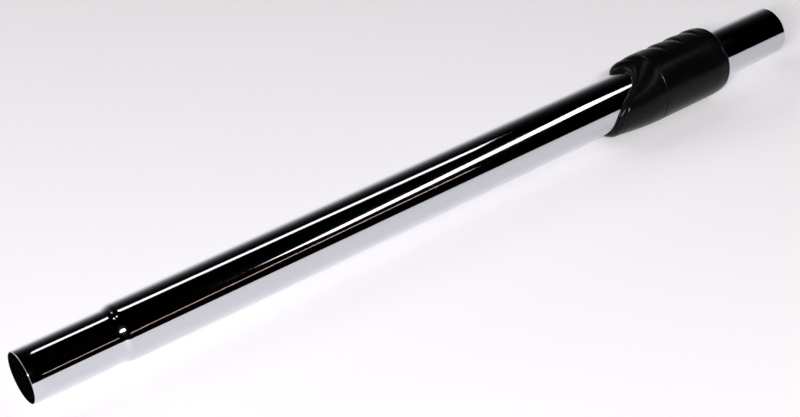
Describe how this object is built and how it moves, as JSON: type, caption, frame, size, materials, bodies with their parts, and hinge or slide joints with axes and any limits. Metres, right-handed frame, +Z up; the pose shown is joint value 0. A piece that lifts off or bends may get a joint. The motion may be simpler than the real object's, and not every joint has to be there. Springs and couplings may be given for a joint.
{
  "type": "telescopic vacuum wand",
  "caption": "Collapsed telescopic vacuum cleaner wand: chromed outer tube with a swaged nozzle spigot, black slide-lock grip and sliding inner tube.",
  "frame": {"origin": "on the floor plane, under the middle of the wand's box, with the wand lying as it comes to rest", "axes": "+X along the wand from the nozzle end to the handle end (the tube axis rises 0.99 degrees towards the handle), +Z up; the ribbed top of the grip is rolled 40.5 degrees from +Z towards +Y"},
  "size_m": [0.6438, 0.0532, 0.0541],
  "materials": {
    "chromed_steel": "bright chrome plate on drawn steel tube",
    "black_plastic": "black ABS, moulded, satin",
    "grey_nylon": "dark grey glass-filled nylon, moulded",
    "white_acetal": "natural white acetal, moulded",
    "black_rubber": "black rubber",
    "sintered_steel": "sintered steel, tumbled",
    "spring_steel": "bright spring wire"
  },
  "bodies": {
    "outer": {"outer_tube": "chromed_steel", "guide_bush": "white_acetal", "front_collar": "black_plastic", "lock_housing": "grey_nylon", "return_spring_left": "spring_steel", "return_spring_right": "spring_steel"},
    "inner": {"inner_tube": "chromed_steel", "glide_ring": "white_acetal", "lip_seal": "black_rubber"},
    "sleeve": {"slide_sleeve": "black_plastic", "end_cap": "black_plastic"},
    "bolt": {"lock_bolt": "sintered_steel"}
  },
  "joints": [
    {"name": "tube_extend", "type": "slide", "parent": "outer", "child": "inner", "axis": [0.9999, 0, 0.0172], "range_m": [0, 0.42]},
    {"name": "sleeve_slide", "type": "slide", "parent": "outer", "child": "sleeve", "axis": [0.9999, 0, 0.0172], "range_m": [0, 0.006], "stiffness_N_per_m": 800, "springref_m": -0.008, "deforming": ["return_spring_left", "return_spring_right"]},
    {"name": "bolt_draw", "type": "slide", "parent": "outer", "child": "bolt", "axis": [0.0046, 0.9636, -0.2672], "range_m": [0, 0.00135]}
  ],
  "couplings": [
    {"joint": "bolt_draw", "follows": "sleeve_slide", "ratio": 0.225}
  ]
}
